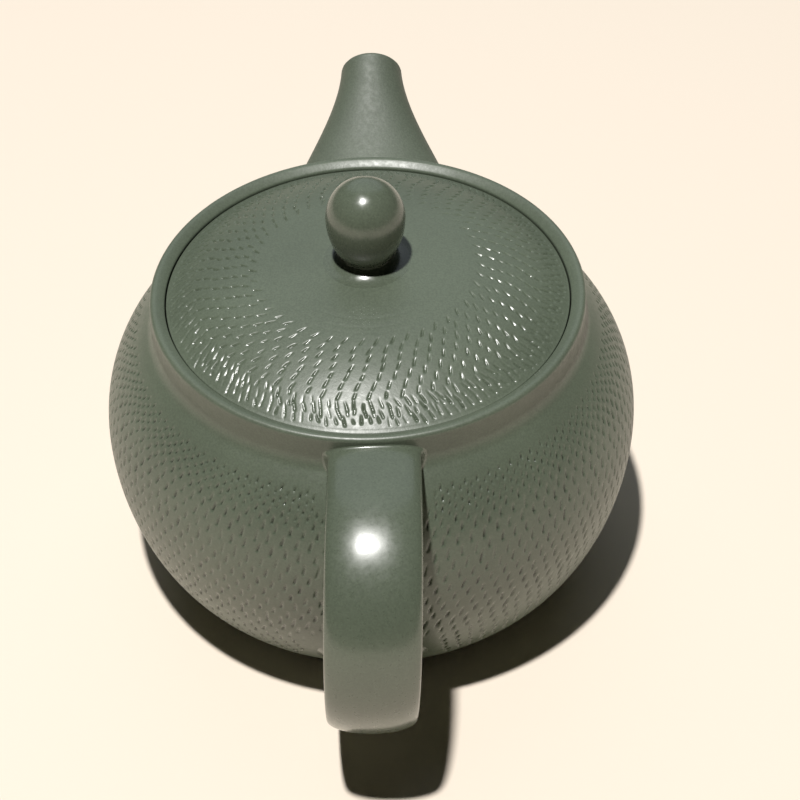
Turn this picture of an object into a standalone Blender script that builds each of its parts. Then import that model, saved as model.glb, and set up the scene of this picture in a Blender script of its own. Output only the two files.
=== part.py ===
"""Back-handled stoneware teapot: thrown pot, spout, strap handle, strainer, inset lid and egg knob.

Frame: origin at the centre of the flat base, +Z up, +Y towards the spout, the handle on -Y.
Dimensions are in millimetres and become metres when a mesh is made. Pieces that are luted together
keep a gap of GAP to each other, and the lid sits that far above its ledge.
"""
import math

import bmesh
import bpy
from mathutils import Vector

MM = 0.001
GAP = 0.3
TURNED_SEGMENTS = 56
SHARP_ANGLE = 40.0

# Pot: flat base, round belly, concave neck, collar rim with a ledge for the lid.
# The belly is two Bezier curves that share a vertical tangent at its widest ring.
BASE_RADIUS = 32.6
BASE_THICKNESS = 4.0
BASE_REACH = 15.5
BELLY_RADIUS = 54.8
BELLY_HEIGHT = 36.0
BELLY_REACH_DOWN = 14.4
BELLY_REACH_UP = 10.1
SHOULDER_RADIUS = 44.9
SHOULDER_HEIGHT = 59.95
SHOULDER_SLOPE = 45.2
SHOULDER_REACH = 8.6
NECK_FILLET = 4.5
RIM_RADIUS = 43.6
RIM_HEIGHT = 68.1
RIM_OUTER_ROUNDING = 0.9
RIM_INNER_ROUNDING = 2.6
COLLAR_BORE_RADIUS = 40.8
LEDGE_HEIGHT = 63.6
MOUTH_RADIUS = 37.9
MOUTH_BOTTOM = 59.4
WALL = 3.4
OUTER_BELLY_STEPS = (11, 8)
INNER_BELLY_STEPS = (8, 7)

# Lid: low dome with a locating flange
LID_RADIUS = 40.4
LID_EDGE_TOP = 66.6
LID_DOME_RISE = 8.7
LID_DOME_POWER = 3.4
LID_THICKNESS = 4.0
LID_EDGE_ROUNDING = 0.5
LID_RINGS = 9
LID_UNDERSIDE_RINGS = 5
FLANGE_OUTER_RADIUS = 37.4
FLANGE_INNER_RADIUS = 34.4
FLANGE_BOTTOM = 57.6
VENT_RADIUS = 1.3
VENT_Y = 14.0

# Knob: an egg that stands on its narrow end in a concave flare
KNOB_RADIUS = 7.8
KNOB_EQUATOR_HEIGHT = 86.1
KNOB_UPPER_HEIGHT = 8.1
KNOB_LOWER_HEIGHT = 11.6
KNOB_FLARE_RADIUS = 8.2
KNOB_FLARE_FILLET = 4.3
KNOB_FLARE_EDGE = 0.25
KNOB_SEGMENTS = 28
KNOB_LOWER_RINGS = 6
KNOB_UPPER_RINGS = 7

# Handle: a strap bent on a circle in the YZ plane, level from the top of the bend to the neck. Its width
# is given along the bend, from 0 at the upper root to 1 at the lower one: it reaches the middle width at
# HANDLE_WIDEST, the bottom width at HANDLE_NARROWEST, and flares onto the pot from HANDLE_FLARE_START.
HANDLE_CENTRE_Y = -53.0
HANDLE_CENTRE_Z = 38.4
HANDLE_OUTER_RADIUS = 28.1
HANDLE_THICKNESS = 6.5
HANDLE_TOP_WIDTH = 17.3
HANDLE_MIDDLE_WIDTH = 18.0
HANDLE_BOTTOM_WIDTH = 16.8
HANDLE_ROOT_WIDTH = 23.0
HANDLE_WIDEST = 0.4
HANDLE_NARROWEST = 0.85
HANDLE_FLARE_START = 0.88
HANDLE_LEAN = 1.5
HANDLE_START_ANGLE = 55.0
HANDLE_END_ANGLE = 287.0
HANDLE_CORNER_POWER = 4.0
HANDLE_CROWN = 1.2
HANDLE_SECTIONS = 25
HANDLE_SEGMENTS = 20

# Spout: ridge and keel curves in the YZ plane (y, z), and the half width between them
SPOUT_RIDGE = ((46.0, 50.5), (57.0, 52.0), (70.2, 58.4), (82.1, 67.7))
SPOUT_KEEL = ((47.0, 12.0), (58.0, 27.0), (74.0, 42.0), (85.9, 54.5))
SPOUT_HALF_WIDTH = (21.5, 26.0, 8.4, 6.9)
SPOUT_WALL = 2.3
SPOUT_BORE_OVERRUN = 0.06
SPOUT_SECTIONS = 12
SPOUT_SEGMENTS = 28

# Port through the wall behind the spout, and the pierced dome over it.
# A strainer ring is (holes, degrees between the hole and the dome's own axis).
PORT_HEIGHT = 33.0
PORT_RADIUS = 9.0
PORT_CUT = (40.0, 70.0)
STRAINER_RADIUS = 12.4
STRAINER_WALL = 1.8
STRAINER_CENTRE_Y = 48.6
STRAINER_HOLE_RADIUS = 1.1
STRAINER_HOLE_CUT = (7.0, 15.0)
STRAINER_SEGMENTS = 28
STRAINER_HOLE_RINGS = ((1, 0.0), (6, 24.0), (11, 47.0))

CLAY = (0.142, 0.185, 0.146, 1.0)


def clear_scene():
    for obj in list(bpy.data.objects):
        bpy.data.objects.remove(obj, do_unlink=True)


def clay_material(name, roughness):
    material = bpy.data.materials.new(name)
    material.use_nodes = True
    shader = material.node_tree.nodes["Principled BSDF"]
    shader.inputs["Base Color"].default_value = CLAY
    shader.inputs["Roughness"].default_value = roughness
    shader.inputs["Metallic"].default_value = 0.0
    return material


def add_object(name, bm, material=None):
    """Turn a bmesh in millimetres into an object in metres, with its faces pointing out."""
    bmesh.ops.recalc_face_normals(bm, faces=bm.faces)
    bmesh.ops.scale(bm, vec=(MM, MM, MM), verts=bm.verts)
    mesh = bpy.data.meshes.new(name)
    bm.to_mesh(mesh)
    bm.free()
    mesh.shade_smooth()
    mesh.set_sharp_from_angle(angle=math.radians(SHARP_ANGLE))
    if material:
        mesh.materials.append(material)
    obj = bpy.data.objects.new(name, mesh)
    bpy.context.collection.objects.link(obj)
    return obj


def as_cutter(obj):
    obj.hide_render = True
    obj.display_type = 'WIRE'
    return obj


def cut(obj, cutter, operation='DIFFERENCE'):
    modifier = obj.modifiers.new(cutter.name, 'BOOLEAN')
    modifier.operation = operation
    modifier.solver = 'EXACT'
    modifier.object = cutter


def arc(centre, radius, start, end, count):
    """Points on a circle in a profile plane, from start to end in degrees."""
    points = []
    for i in range(count):
        angle = math.radians(start + (end - start) * i / (count - 1))
        points.append((centre[0] + radius * math.cos(angle), centre[1] + radius * math.sin(angle)))
    return points


def spin_profile(points, segments=TURNED_SEGMENTS):
    """Spin an open (r, z) profile whose two ends lie on the axis."""
    bm = bmesh.new()
    verts = [bm.verts.new((r, 0.0, z)) for r, z in points]
    edges = [bm.edges.new(pair) for pair in zip(verts, verts[1:])]
    bmesh.ops.spin(
        bm, geom=verts + edges, cent=(0, 0, 0), axis=(0, 0, 1), angle=2.0 * math.pi,
        steps=segments, use_merge=True,
    )
    bmesh.ops.remove_doubles(bm, verts=bm.verts, dist=0.001)
    return bm


def loft(rings):
    """Closed solid through rings of equal length, with flat end caps."""
    bm = bmesh.new()
    loops = [[bm.verts.new(point) for point in ring] for ring in rings]
    for lower, upper in zip(loops, loops[1:]):
        for i in range(len(lower)):
            j = (i + 1) % len(lower)
            bm.faces.new((lower[i], lower[j], upper[j], upper[i]))
    bm.faces.new(loops[0])
    bm.faces.new(loops[-1])
    return bm


def bezier(controls, t):
    """Cubic Bezier value, for numbers or tuples."""
    weights = ((1 - t) ** 3, 3 * t * (1 - t) ** 2, 3 * t * t * (1 - t), t ** 3)
    if isinstance(controls[0], tuple):
        return tuple(sum(w * c[k] for w, c in zip(weights, controls)) for k in range(2))
    return sum(w * c for w, c in zip(weights, controls))


def belly_curve(base, widest, shoulder, steps):
    """(r, z) points from the base corner round the widest ring to the shoulder, for either skin."""
    slope = math.radians(SHOULDER_SLOPE)
    lower_count, upper_count = steps
    lower = (base, (base[0] + BASE_REACH, base[1]), (widest[0], widest[1] - BELLY_REACH_DOWN), widest)
    upper = (
        widest, (widest[0], widest[1] + BELLY_REACH_UP),
        (shoulder[0] + SHOULDER_REACH * math.cos(slope), shoulder[1] - SHOULDER_REACH * math.sin(slope)),
        shoulder)
    points = [bezier(lower, i / lower_count) for i in range(lower_count)]
    return points + [bezier(upper, i / upper_count) for i in range(upper_count + 1)]


def pot_outer_profile():
    """From the axis across the base, up the belly and the neck, to the crown of the rim."""
    points = [(0.0, 0.0)]
    points += belly_curve(
        (BASE_RADIUS, 0.0), (BELLY_RADIUS, BELLY_HEIGHT), (SHOULDER_RADIUS, SHOULDER_HEIGHT),
        OUTER_BELLY_STEPS)
    slope = math.radians(SHOULDER_SLOPE)
    neck_centre = (
        SHOULDER_RADIUS + NECK_FILLET * math.sin(slope), SHOULDER_HEIGHT + NECK_FILLET * math.cos(slope))
    points += arc(neck_centre, NECK_FILLET, 270.0 - SHOULDER_SLOPE, 180.0, 6)[1:]
    crown = (RIM_RADIUS - RIM_OUTER_ROUNDING, RIM_HEIGHT - RIM_OUTER_ROUNDING)
    points += arc(crown, RIM_OUTER_ROUNDING, 0.0, 90.0, 4)
    return points


def pot_inner_profile():
    """From the rim crown down the collar bore, over the ledge and down the inside to the axis."""
    crown = (RIM_RADIUS - RIM_OUTER_ROUNDING, RIM_HEIGHT - RIM_INNER_ROUNDING)
    end = math.degrees(math.acos((COLLAR_BORE_RADIUS - crown[0]) / RIM_INNER_ROUNDING))
    points = arc(crown, RIM_INNER_ROUNDING, 90.0, end, 5)[1:]
    points += [(COLLAR_BORE_RADIUS, LEDGE_HEIGHT), (MOUTH_RADIUS, LEDGE_HEIGHT)]
    inside = belly_curve(
        (BASE_RADIUS - WALL, BASE_THICKNESS), (BELLY_RADIUS - WALL, BELLY_HEIGHT),
        (MOUTH_RADIUS, MOUTH_BOTTOM), INNER_BELLY_STEPS)
    points += inside[::-1]
    points.append((0.0, BASE_THICKNESS))
    return points


def offset_profile(points, distance):
    """Move a profile sideways, to its right-hand side when walked in order."""
    moved = []
    last = len(points) - 1
    for i, (r, z) in enumerate(points):
        before = points[max(i - 1, 0)]
        after = points[min(i + 1, last)]
        dr, dz = after[0] - before[0], after[1] - before[1]
        length = math.hypot(dr, dz)
        moved.append((r + distance * dz / length, z - distance * dr / length))
    return moved


def make_pot_envelope():
    """The pot's outer shape, GAP larger: it trims the roots of the handle and the spout."""
    points = offset_profile(pot_outer_profile()[1:], GAP)
    points = [(0.0, points[0][1])] + points + [(0.0, points[-1][1])]
    return as_cutter(add_object("pot_envelope", spin_profile(points)))


def make_cavity_envelope():
    """The pot's inside below the mouth, GAP smaller: it trims the strainer's foot."""
    inside = [point for point in pot_inner_profile()[:-1] if point[1] <= MOUTH_BOTTOM]
    points = offset_profile(inside, GAP)
    points = [(0.0, points[0][1])] + points + [(0.0, points[-1][1])]
    return as_cutter(add_object("cavity_envelope", spin_profile(points)))


def cylinder(name, radius, start, end, segments=24):
    """Cylinder between two points, for cutting."""
    start, end = Vector(start), Vector(end)
    bm = bmesh.new()
    bmesh.ops.create_cone(
        bm, cap_ends=True, segments=segments, radius1=radius, radius2=radius,
        depth=(end - start).length)
    turn = (end - start).to_track_quat('Z', 'Y').to_matrix().to_4x4()
    bmesh.ops.transform(bm, matrix=turn, verts=bm.verts)
    bmesh.ops.translate(bm, vec=(start + end) / 2, verts=bm.verts)
    return as_cutter(add_object(name, bm))


def make_body(material):
    bm = spin_profile(pot_outer_profile() + pot_inner_profile())
    body = add_object("body", bm, material)
    start, end = ((0, y, PORT_HEIGHT) for y in PORT_CUT)
    cut(body, cylinder("port_cutter", PORT_RADIUS, start, end))
    return body


def spout_rings(wall, overrun):
    """Elliptical sections of the spout, wall millimetres inside its outer skin."""
    rings = []
    for k in range(SPOUT_SECTIONS):
        t = -overrun + (1.0 + 2.0 * overrun) * k / (SPOUT_SECTIONS - 1)
        ridge, keel = Vector(bezier(SPOUT_RIDGE, t)), Vector(bezier(SPOUT_KEEL, t))
        centre = (ridge + keel) / 2
        upward = (ridge - keel) / 2
        upward *= (upward.length - wall) / upward.length
        half_width = bezier(SPOUT_HALF_WIDTH, t) - wall
        ring = []
        for i in range(SPOUT_SEGMENTS):
            angle = 2.0 * math.pi * i / SPOUT_SEGMENTS
            point = centre + upward * math.cos(angle)
            ring.append((half_width * math.sin(angle), point.x, point.y))
        rings.append(ring)
    return rings


def make_spout(material, pot_envelope):
    spout = add_object("spout", loft(spout_rings(0.0, 0.0)), material)
    bore = add_object("spout_bore", loft(spout_rings(SPOUT_WALL, SPOUT_BORE_OVERRUN)))
    cut(spout, as_cutter(bore))
    cut(spout, pot_envelope)
    return spout


def handle_width(turn):
    """Strap width at turn, 0 at the upper root and 1 at the lower root."""
    if turn < HANDLE_WIDEST:
        rise = math.sin(0.5 * math.pi * turn / HANDLE_WIDEST)
        return HANDLE_TOP_WIDTH + (HANDLE_MIDDLE_WIDTH - HANDLE_TOP_WIDTH) * rise
    progress = min((turn - HANDLE_WIDEST) / (HANDLE_NARROWEST - HANDLE_WIDEST), 1.0)
    fall = 0.5 - 0.5 * math.cos(math.pi * progress)
    width = HANDLE_MIDDLE_WIDTH + (HANDLE_BOTTOM_WIDTH - HANDLE_MIDDLE_WIDTH) * fall
    flare = max(0.0, (turn - HANDLE_FLARE_START) / (1.0 - HANDLE_FLARE_START))
    return width + (HANDLE_ROOT_WIDTH - HANDLE_BOTTOM_WIDTH) * flare ** 2


def superellipse(value):
    """Push a cosine or sine outwards, so that the strap's section has rounded corners."""
    return math.copysign(abs(value) ** (2.0 / HANDLE_CORNER_POWER), value)


def strap_place(angle, outward):
    """(y, z) on the strap at an angle of its bend, outward millimetres from the middle of its thickness."""
    middle_radius = HANDLE_OUTER_RADIUS - HANDLE_THICKNESS / 2
    radius = middle_radius + outward
    level = middle_radius * max(0.0, 0.5 * math.pi - angle)
    angle = max(angle, 0.5 * math.pi)
    return HANDLE_CENTRE_Y + radius * math.cos(angle) + level, HANDLE_CENTRE_Z + radius * math.sin(angle)


def make_handle(material, pot_envelope):
    rings = []
    for k in range(HANDLE_SECTIONS):
        turn = k / (HANDLE_SECTIONS - 1)
        angle = math.radians(HANDLE_START_ANGLE + (HANDLE_END_ANGLE - HANDLE_START_ANGLE) * turn)
        half_width = handle_width(turn) / 2
        ring = []
        lean = HANDLE_LEAN * (0.5 + 0.5 * math.sin(max(angle, 0.5 * math.pi)))
        for i in range(HANDLE_SEGMENTS):
            around = 2.0 * math.pi * i / HANDLE_SEGMENTS
            across = superellipse(math.cos(around))
            outward = superellipse(math.sin(around))
            crown = HANDLE_CROWN * max(outward, 0.0) * across ** 2
            place = strap_place(angle, outward * HANDLE_THICKNESS / 2 - crown)
            ring.append((half_width * across + lean, *place))
        rings.append(ring)
    handle = add_object("handle", loft(rings), material)
    cut(handle, pot_envelope)
    return handle


def make_strainer(material, cavity_envelope):
    """Dome shell over the port, bulging into the pot, with rings of round holes."""
    shells = []
    for name, radius in (("strainer", STRAINER_RADIUS), ("strainer_hollow", STRAINER_RADIUS - STRAINER_WALL)):
        bm = bmesh.new()
        bmesh.ops.create_uvsphere(
            bm, u_segments=STRAINER_SEGMENTS, v_segments=STRAINER_SEGMENTS // 2 + 2, radius=radius)
        bmesh.ops.translate(bm, vec=(0, STRAINER_CENTRE_Y, PORT_HEIGHT), verts=bm.verts)
        shells.append(add_object(name, bm, material))
    strainer, hollow = shells
    cut(strainer, as_cutter(hollow))
    cut(strainer, cavity_envelope, 'INTERSECT')
    centre = Vector((0, STRAINER_CENTRE_Y, PORT_HEIGHT))
    for count, tilt in STRAINER_HOLE_RINGS:
        for i in range(count):
            spread, turn = math.radians(tilt), 2.0 * math.pi * i / count
            direction = Vector((
                math.sin(spread) * math.cos(turn), -math.cos(spread), math.sin(spread) * math.sin(turn)))
            hole = cylinder(
                f"strainer_hole_{tilt:.0f}_{i}", STRAINER_HOLE_RADIUS,
                centre + direction * STRAINER_HOLE_CUT[0], centre + direction * STRAINER_HOLE_CUT[1],
                segments=10)
            cut(strainer, hole)
    return strainer


def lid_top(radius):
    return LID_EDGE_TOP + LID_DOME_RISE * (1.0 - (radius / LID_RADIUS) ** LID_DOME_POWER)


def make_lid(material):
    edge = LID_RADIUS - LID_EDGE_ROUNDING
    top = [LID_RADIUS * (i / LID_RINGS) ** 0.8 for i in range(LID_RINGS)] + [edge]
    points = [(r, lid_top(r)) for r in top]
    points += [(LID_RADIUS, LID_EDGE_TOP - LID_EDGE_ROUNDING)]
    points += [(LID_RADIUS, LEDGE_HEIGHT + GAP), (FLANGE_OUTER_RADIUS, LEDGE_HEIGHT + GAP)]
    points += [(FLANGE_OUTER_RADIUS, FLANGE_BOTTOM), (FLANGE_INNER_RADIUS, FLANGE_BOTTOM)]
    under = [FLANGE_INNER_RADIUS * (1.0 - i / LID_UNDERSIDE_RINGS) for i in range(LID_UNDERSIDE_RINGS + 1)]
    points += [(r, lid_top(r) - LID_THICKNESS) for r in under]
    lid = add_object("lid", spin_profile(points), material)
    vent = cylinder(
        "vent_cutter", VENT_RADIUS, (0, VENT_Y, FLANGE_BOTTOM), (0, VENT_Y, KNOB_EQUATOR_HEIGHT), segments=16)
    cut(lid, vent)
    return lid


def egg_radius(z):
    return KNOB_RADIUS * math.sqrt(max(0.0, 1.0 - ((KNOB_EQUATOR_HEIGHT - z) / KNOB_LOWER_HEIGHT) ** 2))


def make_knob(material):
    """From the foot on the lid up the flare, the lower egg and the upper egg."""
    foot = lid_top(0.0) + GAP
    flare_centre = (KNOB_FLARE_RADIUS, foot + KNOB_FLARE_EDGE + KNOB_FLARE_FILLET)
    flare = [p for p in arc(flare_centre, KNOB_FLARE_FILLET, 270.0, 180.0, 9) if p[0] > egg_radius(p[1])]
    rise = (KNOB_EQUATOR_HEIGHT - flare[-1][1]) / (KNOB_LOWER_RINGS + 1)
    lower = [flare[-1][1] + rise * (i + 1) for i in range(KNOB_LOWER_RINGS)]
    points = [(0.0, foot), (KNOB_FLARE_RADIUS, foot)] + flare + [(egg_radius(z), z) for z in lower]
    for i in range(KNOB_UPPER_RINGS):
        angle = 0.5 * math.pi * i / KNOB_UPPER_RINGS
        points.append((
            KNOB_RADIUS * math.cos(angle), KNOB_EQUATOR_HEIGHT + KNOB_UPPER_HEIGHT * math.sin(angle)))
    points.append((0.0, KNOB_EQUATOR_HEIGHT + KNOB_UPPER_HEIGHT))
    return add_object("knob", spin_profile(points, KNOB_SEGMENTS), material)


def main():
    clear_scene()
    clay = clay_material("green_clay", 0.45)
    burnished = clay_material("burnished_clay", 0.25)
    pot_envelope = make_pot_envelope()
    cavity_envelope = make_cavity_envelope()
    make_body(clay)
    make_spout(clay, pot_envelope)
    make_handle(clay, pot_envelope)
    make_strainer(clay, cavity_envelope)

    lid_pivot = bpy.data.objects.new("lid_lift_axis", None)
    bpy.context.collection.objects.link(lid_pivot)
    for piece in (make_lid(clay), make_knob(burnished)):
        piece.parent = lid_pivot


main()
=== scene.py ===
"""Looks of the back-handled stoneware teapot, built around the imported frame.

The lengths of the pot's constants and mesh functions are in millimetres, in the frame of the part: origin
at the centre of the flat base, +Z up, +Y towards the spout. build() and drill() turn them into metres.
Angles are in radians, apart from the strainer's. Materials, lights and the floor are in metres.
"""
import math
from collections import namedtuple

import bpy
import numpy as np
from mathutils import Matrix, Vector


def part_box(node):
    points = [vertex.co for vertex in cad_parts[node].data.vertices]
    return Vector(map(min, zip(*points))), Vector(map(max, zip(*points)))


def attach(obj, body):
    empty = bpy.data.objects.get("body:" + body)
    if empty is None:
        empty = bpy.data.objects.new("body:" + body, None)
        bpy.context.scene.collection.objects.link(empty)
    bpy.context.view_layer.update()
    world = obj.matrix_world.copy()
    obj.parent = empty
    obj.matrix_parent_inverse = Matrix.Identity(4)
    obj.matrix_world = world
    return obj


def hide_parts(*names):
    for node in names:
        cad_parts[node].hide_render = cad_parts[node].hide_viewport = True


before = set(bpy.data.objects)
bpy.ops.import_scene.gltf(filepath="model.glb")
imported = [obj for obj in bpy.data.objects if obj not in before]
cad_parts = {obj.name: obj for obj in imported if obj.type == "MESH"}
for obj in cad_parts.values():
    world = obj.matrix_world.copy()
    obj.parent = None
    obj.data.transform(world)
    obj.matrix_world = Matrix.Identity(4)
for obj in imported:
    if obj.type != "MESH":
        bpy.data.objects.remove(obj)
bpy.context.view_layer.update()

MM = 0.001


def box_mm(node):
    """A node's lowest and highest corners, in millimetres."""
    low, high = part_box(node)
    return np.array(low) / MM, np.array(high) / MM


# Driving dimensions, from the frame
BELLY_RADIUS = box_mm("body")[1][0]
RIM_HEIGHT = box_mm("body")[1][2]
LID_RADIUS = box_mm("lid")[1][0]
FLANGE_BOTTOM = box_mm("lid")[0][2]
KNOB_TOP = box_mm("knob")[1][2]
SPOUT_TIP = box_mm("spout")[1]
HANDLE_BACK = box_mm("handle")[0][1]

# Pot: two Bezier curves that share a vertical tangent at the widest ring, then neck and rim.
# A reach is the length of a curve's control arm.
BASE_RADIUS = 32.6
BASE_THICKNESS = 4.0
BASE_RIPPLE = 0.10
BASE_REACH = 15.5
BELLY_HEIGHT = 36.0
BELLY_REACH_DOWN = 14.4
BELLY_REACH_UP = 10.1
SHOULDER_RADIUS = 44.9
SHOULDER_HEIGHT = 59.95
SHOULDER_SLOPE = math.radians(45.2)
SHOULDER_REACH = 8.6
NECK_FILLET = 4.5
RIM_RADIUS = 43.6
RIM_OUTER_ROUNDING = 0.9
RIM_CROWN_ROUNDING = 1.2
RIM_SLOPE = math.radians(27.0)
RIM_SLOPE_RADIUS = 8.0
COLLAR_BORE_RADIUS = 40.65
COLLAR_CORNER = 0.4
LEDGE_HEIGHT = 63.6
LEDGE_ROUNDING = 0.5
MOUTH_RADIUS = 37.9
MOUTH_TOP = LEDGE_HEIGHT - 1.2
MOUTH_BOTTOM = 59.4
WALL = 3.4
PORT_HEIGHT = 33.0
PORT_RADIUS = 9.0
PORT_CUT = (40.0, 70.0)

# Corner between the rim's slope and the bore, in steps: out from the bore, and down from the slope's end
COLLAR_EDGE = ((0.15, 0.0), (0.04, 0.16), (0.0, 0.36), (0.0, 0.7))

# Lid: a low dome with a locating flange, and faint rings where the turning tool passed
LID_EDGE_TOP = 66.6
LID_DOME_RISE = 8.7
LID_DOME_POWER = 3.0
LID_THICKNESS = 4.0
LID_EDGE_ROUNDING = 0.3
FLANGE_OUTER_RADIUS = 37.4
FLANGE_INNER_RADIUS = 34.4
FLANGE_ROUNDING = 0.6
FLANGE_HOLLOW_CORNER = 0.9
SEAT_GAP = 0.3
SEAT_CHAMFER = 0.3
VENT_RADIUS = 1.3
VENT_Y = 14.0
VENT_CUT = (60.0, 90.0)
TURNING_RINGS = (17.0, 19.2, 20.9)
TURNING_DEPTH = 0.035
TURNING_WIDTH = 0.28

# Knob: an egg that stands on its narrow end in a concave flare, which ends in a thin feather edge. The egg
# starts KNOB_NECK_STEP above where the flare is KNOB_NECK_CLEARANCE wider than it.
KNOB_RADIUS = 7.8
KNOB_EQUATOR = 86.1
KNOB_LOWER = 11.6
KNOB_FLARE_RADIUS = 8.6
KNOB_FLARE_FILLET = 4.6
KNOB_FEATHER = 0.5
KNOB_SUNK = 0.12
KNOB_FEATHER_LIFT = 0.14
KNOB_NECK_CLEARANCE = 0.15
KNOB_NECK_STEP = 0.55
KNOB_SEGMENTS = 96

# Handle: a strap bent on a circle in the YZ plane, level from the top of the bend to the neck. Its width is
# given along the bend, from 0 at the upper root to 1 at the lower one.
HANDLE_CENTRE = (-53.0, 38.4)
HANDLE_OUTER_RADIUS = HANDLE_CENTRE[0] - HANDLE_BACK
HANDLE_THICKNESS = 6.5
HANDLE_TOP_WIDTH = 17.3
HANDLE_MIDDLE_WIDTH = 18.0
HANDLE_BOTTOM_WIDTH = 16.8
HANDLE_ROOT_WIDTH = 21.0
HANDLE_WIDEST = 0.4
HANDLE_NARROWEST = 0.85
HANDLE_FLARE_START = 0.9
HANDLE_LEAN = 1.5
HANDLE_START = math.radians(52.0)
HANDLE_END = math.radians(289.0)
HANDLE_CORNER_POWER = 4.0
HANDLE_CROWN = 1.2
HANDLE_SECTIONS = 180
HANDLE_SEGMENTS = 88
HANDLE_LOWER_FILLET = 3.2
HANDLE_UPPER_FILLETS = (1.8, 0.7)

# Spout: ridge and keel curves in the YZ plane, and the half width between them
SPOUT_RIDGE = ((46.0, 50.5), (57.0, 52.0), (70.2, 58.4), (82.1, SPOUT_TIP[2]))
SPOUT_KEEL = ((47.0, 12.0), (58.0, 27.0), (74.0, 42.0), (SPOUT_TIP[1], 54.5))
SPOUT_HALF_WIDTH = (21.5, 26.0, 8.4, 6.9)
SPOUT_WALL = 2.3
SPOUT_SECTIONS = 90
SPOUT_SEGMENTS = 112
SPOUT_FILLET = 3.6
SPOUT_BORE_FILLET = 0.6
SPOUT_LIP_FULLNESS = 0.75

# Strainer: a pierced dome over the port. A ring is (holes, degrees between the holes and the dome's axis).
STRAINER_RADIUS = 12.4
STRAINER_WALL = 1.8
STRAINER_CENTRE_Y = 48.6
STRAINER_FOOT_Y = 50.8
STRAINER_HOLE_RADIUS = 1.1
STRAINER_HOLE_RINGS = ((1, 0.0), (6, 24.0), (11, 47.0))
STRAINER_SEGMENTS = 72
STRAINER_DRILL_REACH = 3.0

# Chatter marks: rings of short cuts round the belly, between two heights, and round the lid, between two
# radii. The meshes there have COLUMN_RATIO times as many columns as the smooth clay beside them. A gap is
# the distance between rings on the belly; a band is where it starts, from one end, and how long it takes to
# set in; a shift is how far each ring is turned on from the one before, in marks on the belly.
COLUMN_RATIO = 8
BELLY_MARKS = 118
BELLY_COLUMNS = BELLY_MARKS * 16
BELLY_STEP = 0.27
BELLY_CHATTER = (10.0, 57.2)
BELLY_CHATTER_DEPTH = 0.29
BELLY_GAP = 2.75
BELLY_CROWDING = 1.75
BELLY_CROWDED_BAND = (11.0, 8.5)
BELLY_LOW_CROWDING = 0.6
BELLY_LOW_BAND = (13.0, 8.0)
BELLY_LONG_EVERY = 6
BELLY_LONG_FIRST = 4
BELLY_MARK_WIDTH = 1.3
BELLY_MARK_LEAN = 0.22
BELLY_SHIFT = 0.32
BELLY_SHIFT_STRAY = 0.10
BELLY_CROWDED_SHIFT = 0.18
BELLY_MARGINS = (2.0, 1.6)
LID_COLUMNS = 1536
LID_STEP = 0.2
LID_ROWS = (38.4, 37.0, 35.5, 33.8, 32.0, 30.2, 28.3, 26.4, 24.5, 22.6)
LID_CHATTER = (21.0, 39.7)
LID_CHATTER_DEPTH = 0.28
LID_EDGE_BAND = 34.8
LID_EDGE_LEAN = -0.30
LID_LEAN = 0.15
LID_LEAN_GROWTH = 0.5
LID_SHIFT = 0.30
LID_SHIFT_STRAY = 0.08
LID_SHIFT_PARTS = 64
LID_MARK_SHADE = 0.62

# A stroke is one mark of a ring: its gap to the next one, length, width, depth, and how loosely it is set
Stroke = namedtuple("Stroke", "gap length width depth loose")
LID_STROKE = Stroke(3.05, 1.8, 1.05, LID_CHATTER_DEPTH, 1.0)
LID_EDGE_STROKE = Stroke(1.65, 2.1, 0.95, 0.8 * LID_CHATTER_DEPTH, 2.4)

# How far single marks stray: round the ring in gaps, along the profile in lengths, and in shares of their
# depth and length
STRAY_ROUND = 0.035
STRAY_ALONG = 0.05
STRAY_DEPTH = 0.14
STRAY_LENGTH = 0.09
STRAY_LEAN = 0.06

# Form of a mark: a steep wall and a rounder one, in shares of its width, and its deepest place along it
STEEP_WALL = 0.34
ROUND_WALL = 0.50
CHATTER_DEEPEST = -0.66

# Clay smoothed round the roots of the spout and the handle: (reach to each side, height, reach up or down)
SPOUT_PATCH = (25.0, 35.0, 20.0)
HANDLE_LOWER_PATCH = (13.2, 14.0, 9.0)
HANDLE_UPPER_PATCH = (10.5, 60.0, 5.5)

SHARP_ANGLE = math.radians(50.0)
FILLET_SUNK = 0.12

random = np.random.default_rng(7)


# ---------------------------------------------------------------- profiles

def bezier(controls, t):
    """Points of a cubic Bezier; controls are numbers or pairs, t an array."""
    t = np.asarray(t, float)[:, None]
    weights = np.concatenate([(1 - t) ** 3, 3 * t * (1 - t) ** 2, 3 * t * t * (1 - t), t ** 3], axis=1)
    return weights @ np.asarray(controls, float)


def arc(centre, radius, start, end, count):
    """Points of an arc, from the angle start to the angle end."""
    angle = np.linspace(start, end, count)
    return np.stack([centre[0] + radius * np.cos(angle), centre[1] + radius * np.sin(angle)], axis=1)


def line(start, end, count):
    """Points from start up to, and without, end."""
    t = np.arange(count)[:, None] / count
    return np.asarray(start, float) * (1 - t) + np.asarray(end, float) * t


def belly_curve(base, widest, shoulder, count):
    """A belly from the edge of its base, out to its widest ring and in to its shoulder."""
    t = np.linspace(0.0, 1.0, count)
    lower = (base, (base[0] + BASE_REACH, base[1]), (widest[0], widest[1] - BELLY_REACH_DOWN), widest)
    upper = (
        widest, (widest[0], widest[1] + BELLY_REACH_UP),
        (shoulder[0] + SHOULDER_REACH * math.cos(SHOULDER_SLOPE),
         shoulder[1] - SHOULDER_REACH * math.sin(SHOULDER_SLOPE)),
        shoulder)
    return np.concatenate([bezier(lower, t), bezier(upper, t)[1:]])


def lengths(points):
    """Length along a polyline at each of its points."""
    return np.concatenate([[0.0], np.cumsum(np.linalg.norm(np.diff(points, axis=0), axis=1))])


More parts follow.
